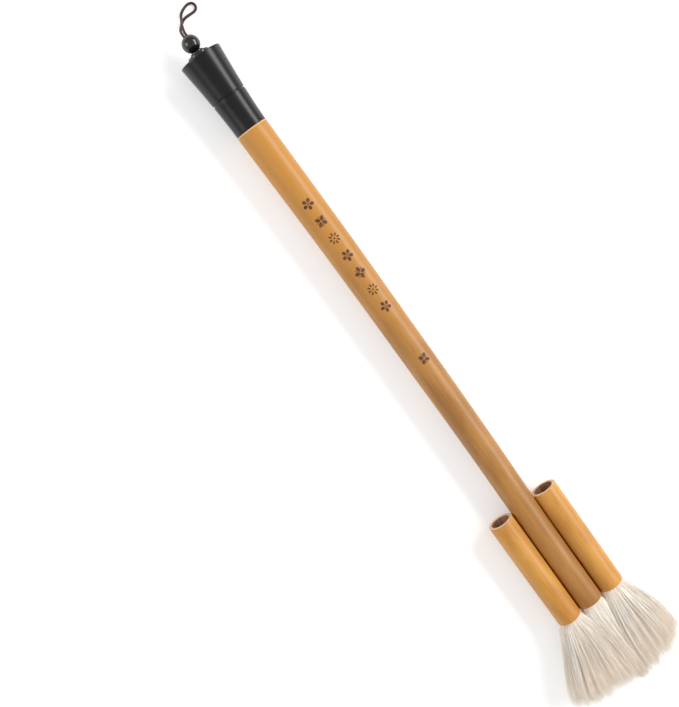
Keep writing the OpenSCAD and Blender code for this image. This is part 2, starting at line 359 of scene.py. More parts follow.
makeLoop(cordSettings)

# ---- table and light

studioSettings = {
    "tableWhite": 0.86,
    "tableHalf": 4.0,
    "tableLift": 0.35,
    "farLift": 1.0,
    "farFrom": 0.45,
    "farTo": 1.6,
    "worldGrey": 0.55,
    "lampDistance": 0.85,
    "lamps": {
        "keyLamp": {"power": 6.5, "from": (0.04, 0.745, 0.65), "size": (0.95, 0.3)},
        "fillLamp": {"power": 2.2, "from": (-0.45, -0.72, 0.45), "size": (0.5, 0.5)},
    },
}


def makeTable(s):
    f = Finish("paleTable", Roughness=0.9, Specular_IOR_Level=0.0)
    f.shader.inputs["Base Color"].default_value = grey(s["tableWhite"])
    path = f.make("ShaderNodeLightPath")
    seen = f.maths("MAXIMUM", path.other("Is Camera Ray"), path.other("Is Glossy Ray"))
    seen = f.maths("MAXIMUM", seen, path.other("Is Transmission Ray"))
    f.shader.inputs["Emission Strength"].default_value = 1.0
    away = f.vector("SUBTRACT", f.place, ((cadLow.x + cadHigh.x) / 2, axisY, 0))
    away = f.make("ShaderNodeVectorMath", {"operation": "LENGTH"}, {0: away}, "Value")
    level = f.mixed(f.between(away, s["farFrom"], s["farTo"]), grey(s["tableLift"]),
                    grey(s["farLift"]))
    f.feed(Emission_Color=f.mixed(seen, grey(0), level))
    half = s["tableHalf"]
    corners = [(-half, -half, 0), (half, -half, 0), (half, half, 0), (-half, half, 0)]
    table = newPiece("paleTable", corners, [(0, 1, 2, 3)], [f.material])


def makeLamp(name, s, distance):
    data = bpy.data.lights.new(name, "AREA")
    data.shape = "RECTANGLE"
    data.size, data.size_y = s["size"]
    data.energy = s["power"]
    lamp = bpy.data.objects.new(name, data)
    lamp.location = Vector(s["from"]).normalized() * distance
    lamp.rotation_mode = "QUATERNION"
    lamp.rotation_quaternion = lamp.location.to_track_quat("Z", "Y")
    bpy.context.scene.collection.objects.link(lamp)


def makeWorld(s):
    world = bpy.data.worlds.new("softRoom")
    world.use_nodes = True
    g = Graph(world.node_tree)
    background = world.node_tree.nodes["Background"]
    path = g.make("ShaderNodeLightPath")
    colour = g.mixed(path.other("Is Camera Ray"), grey(s["worldGrey"]), grey(1))
    world.node_tree.links.new(colour.socket, background.inputs["Color"])
    bpy.context.scene.world = world


makeTable(studioSettings)
makeWorld(studioSettings)
for lampName, lampSettings in studioSettings["lamps"].items():
    makeLamp(lampName, lampSettings, studioSettings["lampDistance"])
print("table and lamps ready")

# ---- turned and drilled pieces

def rounded(outline, steps=4):
    # outline holds (x, radius, corner, finish). Each corner is taken off as a short curve.
    found = []
    for i, (x, r, corner, finish) in enumerate(outline):
        here = Vector((x, r))
        if not corner:
            found.append((x, r, finish))
            continue
        before = Vector(outline[i - 1][:2]) - here
        after = Vector(outline[(i + 1) % len(outline)][:2]) - here
        first = here + before.normalized() * min(corner, before.length * 0.45)
        last = here + after.normalized() * min(corner, after.length * 0.45)
        for k in range(steps + 1):
            t = k / steps
            spot = first * (1 - t) ** 2 + here * (2 * t * (1 - t)) + last * t ** 2
            found.append((spot.x, spot.y, outline[i - 1][3] if t < 0.5 else finish))
    return found


def divided(outline, longest):
    # Long straight stretches get rings in between
    found = []
    for i, (x, r, finish) in enumerate(outline):
        nextX, nextR, _ = outline[(i + 1) % len(outline)]
        parts = max(1, math.ceil(abs(nextX - x) / longest))
        for k in range(parts):
            t = k / parts
            found.append((x + (nextX - x) * t, r + (nextR - r) * t, finish))
    return found


def turnedPiece(name, outline, centreY, materials, sides, shape=None, angle=35):
    # outline is a closed loop of (x, radius, finish), turned about the tube's own axis
    vertices, faces, finishes = [], [], []
    for x, r, _ in outline:
        for k in range(sides):
            a = 2 * math.pi * (k + 0.5) / sides
            y, z = shape(x, r, a) if shape else (r * math.cos(a), r * math.sin(a))
            vertices.append((x, centreY + y, axisZ + z))
    for i in range(len(outline)):
        j = (i + 1) % len(outline)
        for k in range(sides):
            n = (k + 1) % sides
            faces.append((i * sides + k, j * sides + k, j * sides + n, i * sides + n))
            finishes.append(outline[i][2])
    piece = newPiece(name, vertices, faces, materials, finishes)
    pointOutwards(piece)
    return smoothShaded(piece, angle)


def pointOutwards(piece):
    shell = bmesh.new()
    shell.from_mesh(piece.data)
    bmesh.ops.recalc_face_normals(shell, faces=shell.faces)
    shell.to_mesh(piece.data)
    shell.free()
    piece.data.update()


# ---- bamboo

# bow holds (distance from the cap's joint, how far the handle bends that way towards +Y) in mm.
# capEndFade and paleEdge say where a colour begins and is full, from the cap's joint.
bambooSettings = {
    "wallWaver": 0.03 * mm,
    "rimRound": 0.3 * mm,
    "innerRound": 0.25 * mm,
    "socketRound": 0.2 * mm,
    "endRound": 0.34 * mm,
    "sides": 112,
    "ringEvery": 2.5 * mm,
    "mouthR": 4.4 * mm,
    "mouthDepth": 14 * mm,
    "coreR": 2.6 * mm,
    "plugR": 4.6 * mm,
    "plugDepth": 12 * mm,
    "boreTaper": 1 * mm,
    "socketR": 4.2 * mm,
    "socketEnd": 24 * mm,
    "phases": {"handle_tube": 0.4, "left_tube": 2.1, "right_tube": 4.4},
    "planed": 0.02 * mm,
    "capEndFade": (130 * mm, 10 * mm),
    "paleEdge": (0.6 * mm, 0.3 * mm),
    "bow": [(0, 0), (12, 0.14), (24, 0.35), (40, 0.61), (56, 0.79), (72, 0.87), (104, 0.89),
            (136, 0.87), (158, 0.71), (172, 0.5), (184, 0.28), (196, 0.08), (206, 0)],
    "narrower": {"left_tube": 0.09, "right_tube": 0.0},
    "towardsMouth": 0.02,
    "handle": {"base": (181, 126, 59), "shade": (160, 108, 48), "pale": (201, 149, 84),
               "capEnd": (203, 139, 50), "shift": 0.0},
    "sideTubes": {"base": (212, 150, 64), "shade": (190, 128, 50), "pale": (224, 170, 92),
                  "capEnd": (212, 150, 64), "shift": 11.0},
}


def makeBambooSkin(name, s):
    f = Finish(name, Specular_IOR_Level=0.4, Coat_Roughness=0.3, Coat_IOR=1.45)
    fibres = f.stretched(45, 2400, 4, 0.6, s["shift"])
    fine = f.stretched(260, 7000, 2, 0.5, s["shift"] + 2)
    clouds = f.stretched(38, 150, 3, 0.55, s["shift"] + 5)
    flecks = f.stretched(700, 2600, 2, 0.6, s["shift"] + 8)
    along = f.make("ShaderNodeSeparateXYZ", None, {0: f.place}, "X")
    tone = f.mixed(f.between(clouds, 0.36, 0.66), screenColour(*s["shade"]), screenColour(*s["base"]))
    fadeFrom, fadeTo = bambooSettings["capEndFade"]
    tone = f.mixed(f.between(along, jointX + fadeFrom, jointX + fadeTo) * 0.8, tone,
                   screenColour(*s["capEnd"]))
    tone = f.mixed(f.between(fibres, 0.45, 0.72) * 0.34, tone, screenColour(*s["pale"]))
    tone = f.mixed(f.between(fine, 0.5, 0.75) * 0.22, tone, screenColour(*s["shade"]))
    tone = f.mixed(f.between(flecks, 0.66, 0.74) * 0.3, tone, screenColour(132, 82, 40))
    fadeFrom, fadeTo = bambooSettings["paleEdge"]
    tone = f.mixed(f.between(along, jointX + fadeFrom, jointX + fadeTo) * 0.8, tone,
                   screenColour(246, 204, 142))
    f.feed(Base_Color=tone, Roughness=0.4 + fibres * 0.14 + fine * 0.06,
           Coat_Weight=f.clamped(0.3 + clouds * 0.2 - flecks * 0.12))
    return f.bump(fibres * 0.7 + fine * 0.3, 0.2, 0.00012).material


def makeCutBamboo():
    # Sawn end: pale, with the dots of the fibre bundles
    f = Finish("cutBamboo", Roughness=0.75, Specular_IOR_Level=0.25)
    dots = f.make("ShaderNodeTexVoronoi", {"feature": "F1"},
                  {"Vector": f.place, "Scale": 2300.0, "Randomness": 0.85}, "Distance")
    cloud = f.stretched(500, 500, 3)
    tone = f.mixed(f.between(cloud, 0.35, 0.65), screenColour(222, 182, 148),
                   screenColour(238, 206, 178))
    tone = f.mixed(f.between(dots, 0.34, 0.12) * 0.4, tone, screenColour(168, 118, 80))
    return f.feed(Base_Color=tone).bump(dots, 0.3, 0.0001).material


def makeBoreWood():
    f = Finish("boredBamboo", Roughness=0.8, Specular_IOR_Level=0.2)
    streaks = f.stretched(120, 2200, 3, seedShift=4)
    turned = f.stretched(5000, 200, 2, seedShift=6)
    tone = f.mixed(f.between(streaks, 0.35, 0.65), screenColour(142, 98, 70),
                   screenColour(190, 142, 106))
    f.feed(Base_Color=f.mixed(turned * 0.3, tone, screenColour(116, 78, 56)))
    return f.bump(turned + streaks, 0.35, 0.0001).material


def wavered(x, a, phase):
    # Small unevenness of a natural stem, the same on every run
    x = x / mm
    return (math.sin(x / 21 + phase) + 0.6 * math.sin(x / 9.5 + 2 * a + phase * 2)
            + 0.5 * math.sin(x / 34 - 3 * a + phase)) / 2.1


def bowAt(x):
    places, offsets = zip(*bambooSettings["bow"])
    return float(np.interp((x - jointX) / mm, places, offsets)) * mm


def tubeShape(phase, flats, s, narrower=0.0, bow=None):
    # flats says on which sides the tube is planed, within the row only
    def shape(x, r, a):
        if r > tubeR - 0.5 * mm:
            r += s["wallWaver"] * wavered(x, a, phase)
            r *= 1 - s["towardsMouth"] * max(0, (x - rowTopX) / (mouthX - rowTopX))
        y, z = r * math.cos(a), r * math.sin(a)
        for side in flats if narrower else ():
            y *= 1 - narrower if y * side < 0 else 1
        y += bow(x) if bow else 0
        if x > rowTopX - 0.2 * mm:
            for side in flats:
                if y * side > flatY - s["planed"]:
                    y = side * (flatY - s["planed"])
        return y, z
    return shape


def makeTubes(s):
    cut, bored = makeCutBamboo(), makeBoreWood()
    skin = makeBambooSkin("handleBamboo", s["handle"])
    sideSkin = makeBambooSkin("sideBamboo", s["sideTubes"])
    mouthR, lip, inner = s["mouthR"], s["rimRound"], s["innerRound"]
    plugEnd, coreEnd = jointX + s["plugDepth"], mouthX - s["mouthDepth"]
    outline = [
        (mouthX, mouthR, inner, 1), (mouthX, tubeR, lip, 0), (rowTopX, tubeR, 0, 0),
        (jointX, handleTopR, s["endRound"], 1), (jointX, s["plugR"], 0, 2),
        (plugEnd, s["plugR"], 0, 2), (plugEnd + s["boreTaper"], s["coreR"], 0, 2),
        (coreEnd - s["boreTaper"], s["coreR"], 0, 2), (coreEnd, mouthR, 0, 2),
    ]
    shape = tubeShape(s["phases"]["handle_tube"], (-1, 1), s, bow=bowAt)
    handle = turnedPiece("handleTube", divided(rounded(outline), s["ringEvery"]), axisY,
                         [skin, cut, bored], s["sides"], shape)
    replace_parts(handle, "handle_tube")
    pieces = [handle]
    socketEnd = mouthX - s["socketEnd"]
    for node, side in (("left_tube", -1), ("right_tube", 1)):
        outline = [
            (mouthX, mouthR, inner, 1), (mouthX, tubeR, lip, 0), (rowTopX, tubeR, lip, 1),
            (rowTopX, s["socketR"], s["socketRound"], 2), (socketEnd, s["socketR"], 0, 2),
            (socketEnd, mouthR, 0, 2),
        ]
        shape = tubeShape(s["phases"][node], (-side,), s, s["narrower"][node])
        tube = turnedPiece(node.replace("_t", "T"), divided(rounded(outline), s["ringEvery"]),
                           axisY + side * tubePitch, [sideSkin, cut, bored], s["sides"], shape)
        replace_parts(tube, node)
        pieces.append(tube)
    for piece in pieces:
        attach(piece, "brush")
    print("bamboo tubes ready")


makeTubes(bambooSettings)

# ---- painted ornaments on the handle

# places holds (distance from the cap's joint, offset towards +Y) in mm, and the motif
ornamentSettings = {
    "size": 5.2 * mm,
    "lift": 0.025 * mm,
    "sunk": 0.07 * mm,
    "stations": 7,
    "turnEach": 0.8,
    "places": [(35.6, -1.0, "blossom"), (43.8, -0.8, "clover"), (52.0, -0.5, "daisy"),
               (60.2, -0.3, "blossom"), (68.4, -0.1, "clover"), (76.6, 0.1, "daisy"),
               (84.8, 0.3, "blossom"), (110.4, 0.6, "clover")],
}


def motifStrokes(kind, turn):
    # Brush strokes as (u1, v1, u2, v2, width), in shares of the motif's size
    strokes = []

    def petals(count, inner, outer, width, shift):
        for k in range(count):
            a = shift + 2 * math.pi * k / count
            c, s = math.cos(a), math.sin(a)
            strokes.append((inner * c, inner * s, outer * c, outer * s, width))

    if kind == "blossom":
        petals(5, 0.14, 0.46, 0.27, turn)
        petals(5, 0.02, 0.17, 0.05, turn + math.pi / 5)
    elif kind == "daisy":
        petals(8, 0.19, 0.46, 0.13, turn)
        petals(1, -0.07, 0.07, 0.14, turn)
    else:
        petals(4, 0.07, 0.47, 0.3, turn)
        petals(4, 0.26, 0.42, 0.06, turn + math.pi / 4)
    return strokes


def onHandle(place, u, v, lift):
    # A point on the handle's skin, u along it and v round it
    x = jointX + place + u
    a = math.pi / 2 - v / handleTopR
    r = handleTopR + (tubeR - handleTopR) * (x - jointX) / (rowTopX - jointX)
    phase = bambooSettings["phases"]["handle_tube"]
    r += bambooSettings["wallWaver"] * wavered(x, a, phase) + lift
    return (x, axisY + bowAt(x) + r * math.cos(a), axisZ + r * math.sin(a))


def makeOrnaments(s):
    ink = Finish("brownInk", Roughness=0.5, Specular_IOR_Level=0.3)
    worn = ink.stretched(900, 2600, 3, 0.6, 5)
    ink.feed(Base_Color=ink.mixed(ink.between(worn, 0.4, 0.7), screenColour(80, 48, 33),
                                  screenColour(124, 84, 56)), Roughness=0.42 + worn * 0.2)
    ink.bump(worn, 0.2, 0.00004)
    vertices, faces = [], []
    for number, (distance, offset, kind) in enumerate(s["places"]):
        for u1, v1, u2, v2, width in motifStrokes(kind, number * s["turnEach"]):
            start, end = Vector((u1, v1)), Vector((u2, v2))
            side = Vector((v1 - v2, u2 - u1)).normalized()
            for k in range(s["stations"]):
                t = k / (s["stations"] - 1)
                middle = start.lerp(end, t)
                # A stroke swells in its middle and ends blunt
                half = side * width / 2 * math.sin(math.pi * (0.08 + 0.84 * t)) ** 0.8
                for spot, lift in ((middle - half, s["lift"]), (middle, s["lift"]),
                                   (middle + half, s["lift"]), (middle + half, -s["sunk"]),
                                   (middle - half, -s["sunk"])):
                    u, v = spot * s["size"]
                    vertices.append(onHandle(distance * mm, u, v + offset * mm, lift))
                last = len(vertices) - 5
                if k:
                    faces += [(last - 5 + j, last + j, last + (j + 1) % 5, last - 5 + (j + 1) % 5)
                              for j in range(5)]
                else:
                    faces.append(tuple(range(last, last + 5)))
            faces.append(tuple(range(last + 4, last - 1, -1)))
    piece = newPiece("handleOrnaments", vertices, faces, [ink.material])
    pointOutwards(piece)
    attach(smoothShaded(piece), "brush")
    print(f"{len(s['places'])} ornaments ready")


makeOrnaments(ornamentSettings)

# ---- cap and finial

capSettings = {
    "flare": 1.6,
    "grooveAt": 14.4 * mm,
    "grooveHalf": 0.33 * mm,
    "grooveDepth": 0.38 * mm,
    "grooveLip": 0.28 * mm,
    "rimRound": 0.5 * mm,
    "footRound": 0.3 * mm,
    "plugR": 4.6 * mm,
    "plugDepth": 14 * mm,
    "cavityR": 3.2 * mm,
    "roof": 4 * mm,
    "cordHoleR": 1.3 * mm,
    "holeRound": 0.1 * mm,
    "discHoleRound": 0.08 * mm,
    "buttonEdge": 0.75 * mm,
    "ringEdge": 0.38 * mm,
    "beadHoleR": 1.4 * mm,
    "beadRings": 48,
    "ringsBelowGroove": 12,
    "ringsAboveGroove": 16,
    "cornerSteps": 6,
    "discCornerSteps": 8,
    "capSides": 128,
    "finialSides": 96,
    "satin": {"roughness": 0.27, "specular": 0.06, "coat": 0.7, "coatRoughness": 0.27,
              "coatIor": 1.5, "scuffs": 0.35, "dark": (11, 10, 9), "light": (20, 18, 17)},
    "gloss": {"roughness": 0.32, "specular": 0.1, "coat": 0.95, "coatRoughness": 0.04,
              "coatIor": 1.6, "scuffs": 0.1, "dark": (17, 13, 12), "light": (27, 22, 20)},
}


def makeCapBlack(name, s):
    f = Finish(name, Specular_IOR_Level=s["specular"], Coat_Roughness=s["coatRoughness"],
               Coat_IOR=s["coatIor"])
    turned = f.stretched(2600, 60, 3, 0.6, 3)
    clouds = f.stretched(90, 90, 3, 0.5, 9)
    scuffs = f.stretched(160, 900, 3, 0.65, 14)
    tone = f.mixed(f.between(clouds, 0.35, 0.68), screenColour(*s["dark"]), screenColour(*s["light"]))
    tone = f.mixed(f.between(scuffs, 0.62, 0.8) * s["scuffs"], tone, screenColour(58, 53, 50))
    f.feed(Base_Color=tone, Roughness=s["roughness"] + turned * 0.06 + clouds * 0.05,
           Coat_Weight=f.clamped(s["coat"] - scuffs * 0.1))
    return f.bump(turned * 0.6 + scuffs * 0.4, 0.12, 0.00008).material


def makeCap(s):
    def wall(height):
        share = height / (jointX - capTopX)
        return (jointX - height, handleTopR + (capRimR - handleTopR) * share ** s["flare"])
    low, high = s["grooveAt"] - s["grooveHalf"], s["grooveAt"] + s["grooveHalf"]
    top = jointX - capTopX
    outline = [(jointX, s["plugR"], 0, 0), (*wall(0), s["footRound"], 0)]
    below, above = s["ringsBelowGroove"], s["ringsAboveGroove"]
    outline += [(*wall(low * k / below), 0, 0) for k in range(1, below)]
    for height, depth in ((low, 0), (low, s["grooveDepth"]), (high, s["grooveDepth"]), (high, 0)):
        x, r = wall(height)
        outline.append((x, r - depth, s["grooveLip"], 0))
    outline += [(*wall(high + (top - high) * k / above), 0, 0) for k in range(1, above)]
    roofX, shoulderX = capTopX + s["roof"], jointX - s["plugDepth"]
    outline += [
        (*wall(top), s["rimRound"], 0), (capTopX, s["cordHoleR"], s["holeRound"], 0),
        (roofX, s["cordHoleR"], 0, 0), (roofX, s["cavityR"], 0, 0),
        (shoulderX, s["cavityR"], 0, 0), (shoulderX, s["plugR"], 0, 0),
    ]
    satin = makeCapBlack("satinCap", s["satin"])
    cap = turnedPiece("flaredCap", rounded(outline, s["cornerSteps"]), axisY, [satin],
                      s["capSides"], angle=50)
    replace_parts(cap, "cap_body")
    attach(cap, "brush")
    print("cap ready")


def makeFinial(s):
    gloss = makeCapBlack("polishedFinial", s["gloss"])
    buttonLow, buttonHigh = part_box("top_button")
    ringLow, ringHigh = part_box("neck_ring")

    def disc(name, node, low, high, edge, body):
        r = (high.z - low.z) / 2
        outline = [(low.x, s["cordHoleR"], s["discHoleRound"], 0), (low.x, r, edge, 0),
                   (high.x, r, edge, 0), (high.x, s["cordHoleR"], 0, 0)]
        piece = turnedPiece(name, rounded(outline, s["discCornerSteps"]), axisY, [gloss],
                            s["finialSides"], angle=50)
        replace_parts(piece, node)
        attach(piece, body)

    disc("topButton", "top_button", buttonLow, buttonHigh, s["buttonEdge"], "brush")
    disc("neckRing", "neck_ring", ringLow, ringHigh, s["ringEdge"], "brush")
    r = (beadHigh.z - beadLow.z) / 2
    hole = s["beadHoleR"]
    middle = beadEndX + math.sqrt(r * r - hole * hole)
    first, last = math.asin(hole / r), math.acos((beadHigh.x - middle) / r)
    outline = []
    for k in range(s["beadRings"] + 1):
        a = math.pi - first + (last - math.pi + first) * k / s["beadRings"]
        outline.append((middle + r * math.cos(a), r * math.sin(a), 0, 0))
    outline.append((beadHigh.x, hole, 0, 0))
    bead = turnedPiece("turningBead", rounded(outline), axisY, [gloss], s["finialSides"],
                       angle=50)
    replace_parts(bead, "bead")
    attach(bead, "bead")
    print("finial ready")


makeCap(capSettings)
makeFinial(capSettings)


# ---- what shows only through a mouth, a bore or a seam

def dress(material, *nodes):
    for node in nodes:
        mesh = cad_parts[node].data
        if not mesh.materials:
            mesh.materials.append(material)
        for k in range(len(mesh.materials)):
            mesh.materials[k] = material


glueSettings = {
    "top": 1.75 * mm,
    "uneven": 0.12 * mm,
    "waveLength": 2.3 * mm,
    "overlap": 0.12 * mm,
    "thin": 0.015 * mm,
    "valley": 0.5 * mm,
    "fromEnds": 0.8 * mm,
    "step": 0.5 * mm,
}


def makeGlueSeams(s):
    # Dark glue at the bottom of the valley between two tubes, above and below
    f = Finish("seamGlue", Roughness=0.6, Specular_IOR_Level=0.15)
    drops = f.stretched(180, 700, 3, seedShift=2)
    f.feed(Base_Color=f.mixed(f.between(drops, 0.35, 0.65), screenColour(70, 26, 6),
                              screenColour(100, 44, 14)))
    f.bump(drops, 0.5, 0.0003)
    count = int((mouthX - rowTopX - 2 * s["fromEnds"]) / s["step"])
    for node, side in (("left_glue_seam", -1), ("right_glue_seam", 1)):
        vertices, faces = [], []
        for i in range(count + 1):
            x = rowTopX + s["fromEnds"] + i * s["step"]
            top = s["top"] + s["uneven"] * math.sin(x / s["waveLength"] + side)
            half = flatY - math.sqrt(tubeR ** 2 - top ** 2) + s["overlap"]
            thin, low = s["thin"], top - s["valley"]
            for y, z in ((half, top), (thin, low), (thin, -low), (half, -top),
                         (-half, -top), (-thin, -low), (-thin, low), (-half, top)):
                vertices.append((x, axisY + side * flatY + y, axisZ + z))
            if i:
                faces += [(8 * i - 8 + k, 8 * i - 8 + (k + 1) % 8, 8 * i + (k + 1) % 8, 8 * i + k)
                          for k in range(8)]
        faces += [tuple(range(8)), tuple(range(len(vertices) - 1, len(vertices) - 9, -1))]
        piece = newPiece(node.replace("_glue_s", "GlueS"), vertices, faces, [f.material])
        pointOutwards(piece)
        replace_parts(smoothShaded(piece), node)
        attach(piece, "brush")


pinSettings = {"radius": 0.9 * mm, "sunk": 0.06 * mm, "sides": 40, "rings": 8}


def makePins(s):
    # Bamboo pins through the three tubes, their ends trimmed to follow the side tubes
    f = Finish("pinBamboo", Roughness=0.6)
    grain = f.stretched(2200, 900, 3)
    f.feed(Base_Color=f.mixed(grain, screenColour(196, 148, 92), screenColour(222, 184, 132)))
    f.bump(grain, 0.3, 0.0001)
    for node in ("upper_pin", "lower_pin"):
        pinLow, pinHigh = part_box(node)
        x = (pinLow.x + pinHigh.x) / 2
        worn = 1 - bambooSettings["towardsMouth"] * (x - rowTopX) / (mouthX - rowTopX)

        def reach(side, z):
            narrow = bambooSettings["narrower"]["left_tube" if side < 0 else "right_tube"]
            wall = math.sqrt((tubeR * worn - s["sunk"]) ** 2 - z ** 2) * (1 - narrow)
            return axisY + side * (tubePitch + wall)
        vertices, faces = [(x, reach(-1, 0), axisZ)], []
        sides, rings = s["sides"], s["rings"]
        loops = [(-1, k / rings) for k in range(1, rings + 1)]
        loops += [(1, k / rings) for k in range(rings, 0, -1)]
        for side, share in loops:
            for k in range(sides):
                a = 2 * math.pi * k / sides
                z = s["radius"] * share * math.sin(a)
                vertices.append((x + s["radius"] * share * math.cos(a), reach(side, z), axisZ + z))
        vertices.append((x, reach(1, 0), axisZ))
        last = len(vertices) - 1
        for k in range(sides):
            n = (k + 1) % sides
            faces += [(0, 1 + k, 1 + n), (last, last - sides + n, last - sides + k)]
            faces += [(1 + i * sides + k, 1 + i * sides + sides + k, 1 + i * sides + sides + n,
                       1 + i * sides + n) for i in range(len(loops) - 1)]
        piece = newPiece(node.replace("_p", "P"), vertices, faces, [f.material])
        pointOutwards(piece)
        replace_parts(smoothShaded(piece), node)
        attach(piece, "brush")


def dressInnerParts():
    dress(bpy.data.materials["pinBamboo"], "cap_plug")
    resin = Finish("rootResin", Roughness=0.25, Coat_Weight=0.4)
    swirls = resin.stretched(900, 900, 3)
    resin.feed(Base_Color=resin.mixed(swirls, screenColour(150, 104, 52), screenColour(196, 150, 88)))
    dress(resin.material, "left_root_plug", "middle_root_plug", "right_root_plug")
    thread = Finish("bindingThread", Roughness=0.75)
    winds = thread.make("ShaderNodeTexWave", {"wave_type": "BANDS", "bands_direction": "X"},
                        {"Vector": thread.place, "Scale": 900.0, "Distortion": 1.0}, "Fac")
    thread.feed(Base_Color=thread.mixed(winds, screenColour(176, 160, 128), screenColour(226, 214, 188)))
    thread.bump(winds, 0.8, 0.0002)
    dress(thread.material, "left_root_binding", "middle_root_binding", "right_root_binding")
    roots = Finish("boundRoots", Roughness=0.7)
    strands = roots.stretched(60, 6000, 3)
    roots.feed(Base_Color=roots.mixed(strands, screenColour(178, 162, 140), screenColour(232, 222, 206)))
    roots.bump(strands, 0.6, 0.0002)
    dress(roots.material, "left_bound_roots", "middle_bound_roots", "right_bound_roots")
    dress(bpy.data.materials["waxedCord"], "cord_knot", "cord_stem")


makeGlueSeams(glueSettings)
makePins(pinSettings)
dressInnerParts()

# ---- hair

# Lengths written without mm are in mm all the same, as the fan is worked out in mm. Leans are how
# far the tips stray along, across and up. Shares and reaches are parts of a hair's length.
hairSettings = {
    "hairsInPiece": 5100,
    "piecesInTuft": 2,
    "hairRadius": 0.078 * mm,
    "tipShare": 0.13,
    # Strength of the painted glow, emission that brightens the hair
    "paintedGlow": 0.06,
    "rootDepth": 2.5,
    "bendAt": 1.0,
    "rootR": 4.15,
    "crownDrop": 4.0,
    "locks": 230,
    "lockSpread": 0.45,
    "lockLean": (0.4, 0.45, 0.4),
    "lockTone": 0.12,
    "lockReach": 0.012,
    "wisps": 1800,
    "wispSpread": 0.42,
    "wispLean": (0.3, 0.28, 0.3),
    "wispTone": 0.2,
    "wispReach": 0.034,
    "lockPull": 0.26,
    "wispPull": 0.8,
    "tipEase": 0.15,
    "shell": 0.4,
    "frizz": 0.12 * mm,
    "ownLean": 0.35,
    "ownTone": 0.24,
    "strayShare": 0.05,
    "strayLean": 4.0,
    "strayPull": 0.2,
    "shares": [-0.09, 0.0, 0.06, 0.2, 0.45, 0.74, 1.0],
    "longest": 1.05,
    "shortest": 0.55,
    "shortening": (2.4, 0.045),
    "topLimit": 8.4,
    "sideLimit": 27.9,
    "easeOver": 0.8,
    "aboveTable": 0.15,
    "bendFrom": -1.5 * mm,
    "bendTo": 4 * mm,
}

# Edges in plan as (along, across) in mm from the middle mouth, and the reach of the tips at the
# first edge, in the middle and at the second edge
tufts = {
    "left": {"first": [(1, -15.9), (3, -18.1), (10, -21.6), (20, -26.5), (30.5, -31)],
             "second": [(1, -5.6), (3.5, -4.2), (9, -1.9), (17, 0.2), (25, 1.4), (39, 2.2)],
             "tips": (32.2, 37.4, 38.8), "tipHalf": 8.6, "root": -1, "seed": 11},
    "middle": {"first": [(1, -4.9), (3, -5.8), (9, -5.6), (17, -4.2), (25, -3), (39, -1.6)],
               "second": [(1, 4.9), (3, 5.8), (6, 5.6), (12, 5.0), (23, 3.2), (39, 1.6)],
               "tips": (38.4, 39, 38.9), "tipHalf": 6.2, "root": 0, "seed": 23},
    "right": {"first": [(1, 5.7), (4, 4.3), (12, 1.8), (23, -0.6), (39, -1.6)],
              "second": [(1, 16.1), (3, 17.6), (10, 20.3), (19, 23), (31, 24.4)],
              "tips": (38.6, 39.6, 31.5), "tipHalf": 8.6, "root": 1, "seed": 37},
}


def makeHairFinish(s):
    f = Finish("goatHair", Roughness=0.5, Specular_IOR_Level=0.4, Sheen_Weight=0.25,
               Sheen_Roughness=0.4)
    tone = f.make("ShaderNodeAttribute", {"attribute_name": "tone"}, None, "Fac")
    along = f.make("ShaderNodeAttribute", {"attribute_name": "along"}, None, "Fac")
    broad = f.stretched(60, 420, 2, 0.5, 7)
    colour = f.mixed(f.between(tone, 0.0, 1.0), screenColour(230, 213, 192), screenColour(255, 252, 246))
    # Painted light: towards the tips the colour is lifted to near white, to make up for the shade among
    # the thin tips
    colour = f.mixed(f.between(along, 0.35, 1.0) * 0.7, colour, screenColour(255, 246, 233))
    colour = f.mixed(f.between(along, 0.2, 0.03) * 0.6, colour, screenColour(246, 228, 214))
    colour = f.mixed(f.between(broad, 0.5, 0.75) * 0.2, colour, screenColour(240, 222, 196))
    # Painted glow: the hair gives off a little light of its own, none at the roots and full at the tips
    paintedTipGlow = f.mixed(f.between(along, 0.1, 0.9), grey(0), colour)
    f.shader.inputs["Emission Strength"].default_value = s["paintedGlow"]
    return f.feed(Base_Color=colour, Roughness=0.45 + tone * 0.15, Emission_Color=paintedTipGlow).material


